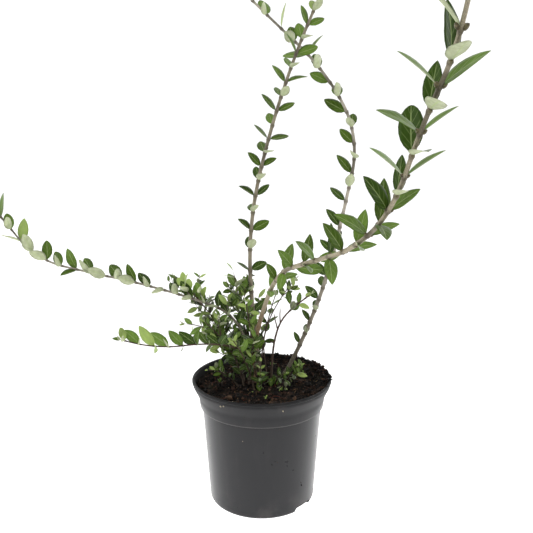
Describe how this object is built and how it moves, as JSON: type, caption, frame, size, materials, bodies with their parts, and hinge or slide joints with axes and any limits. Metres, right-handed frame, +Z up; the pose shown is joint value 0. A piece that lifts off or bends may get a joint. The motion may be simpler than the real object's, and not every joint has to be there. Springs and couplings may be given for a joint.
{
  "type": "potted box honeysuckle",
  "caption": "Young box honeysuckle shrub in a round nursery pot of soil, with long arching shoots of small opposite leaves and a clump of low leafy twigs round their feet.",
  "frame": {"origin": "middle of the pot's flat underside, on the surface that the pot stands on", "axes": "+Z up, -Y towards the viewer of the picture, +X to the picture's right"},
  "size_m": [0.3388, 0.4085, 0.4968],
  "materials": {
    "pot_plastic": "dark grey satin moulded plastic",
    "potting_soil": "rough dark potting mix with bark bits",
    "bark": "smooth young grey-brown bark",
    "foliage": "leathery semi-gloss leaf"
  },
  "bodies": {
    "root": {"pot": "pot_plastic", "soil": "potting_soil", "stem_centre": "bark", "stem_right": "bark", "stem_front": "bark", "stem_left": "bark", "stem_low": "bark", "shoot_centre_low": "foliage", "shoot_centre_high": "foliage", "shoot_right_low": "foliage", "shoot_right_arch": "foliage", "shoot_right_tip": "foliage", "shoot_front_low": "foliage", "shoot_front_middle": "foliage", "shoot_front_high": "foliage", "shoot_left_inner": "foliage", "shoot_left_outer": "foliage", "shoot_low": "foliage", "twig_01": "foliage", "twig_02": "foliage", "twig_03": "foliage", "twig_04": "foliage", "twig_05": "foliage", "twig_06": "foliage", "twig_07": "foliage", "twig_08": "foliage", "twig_09": "foliage", "twig_10": "foliage", "twig_11": "foliage", "twig_12": "foliage", "twig_13": "foliage", "twig_14": "foliage", "twig_15": "foliage", "twig_16": "foliage"}
  },
  "joints": []
}
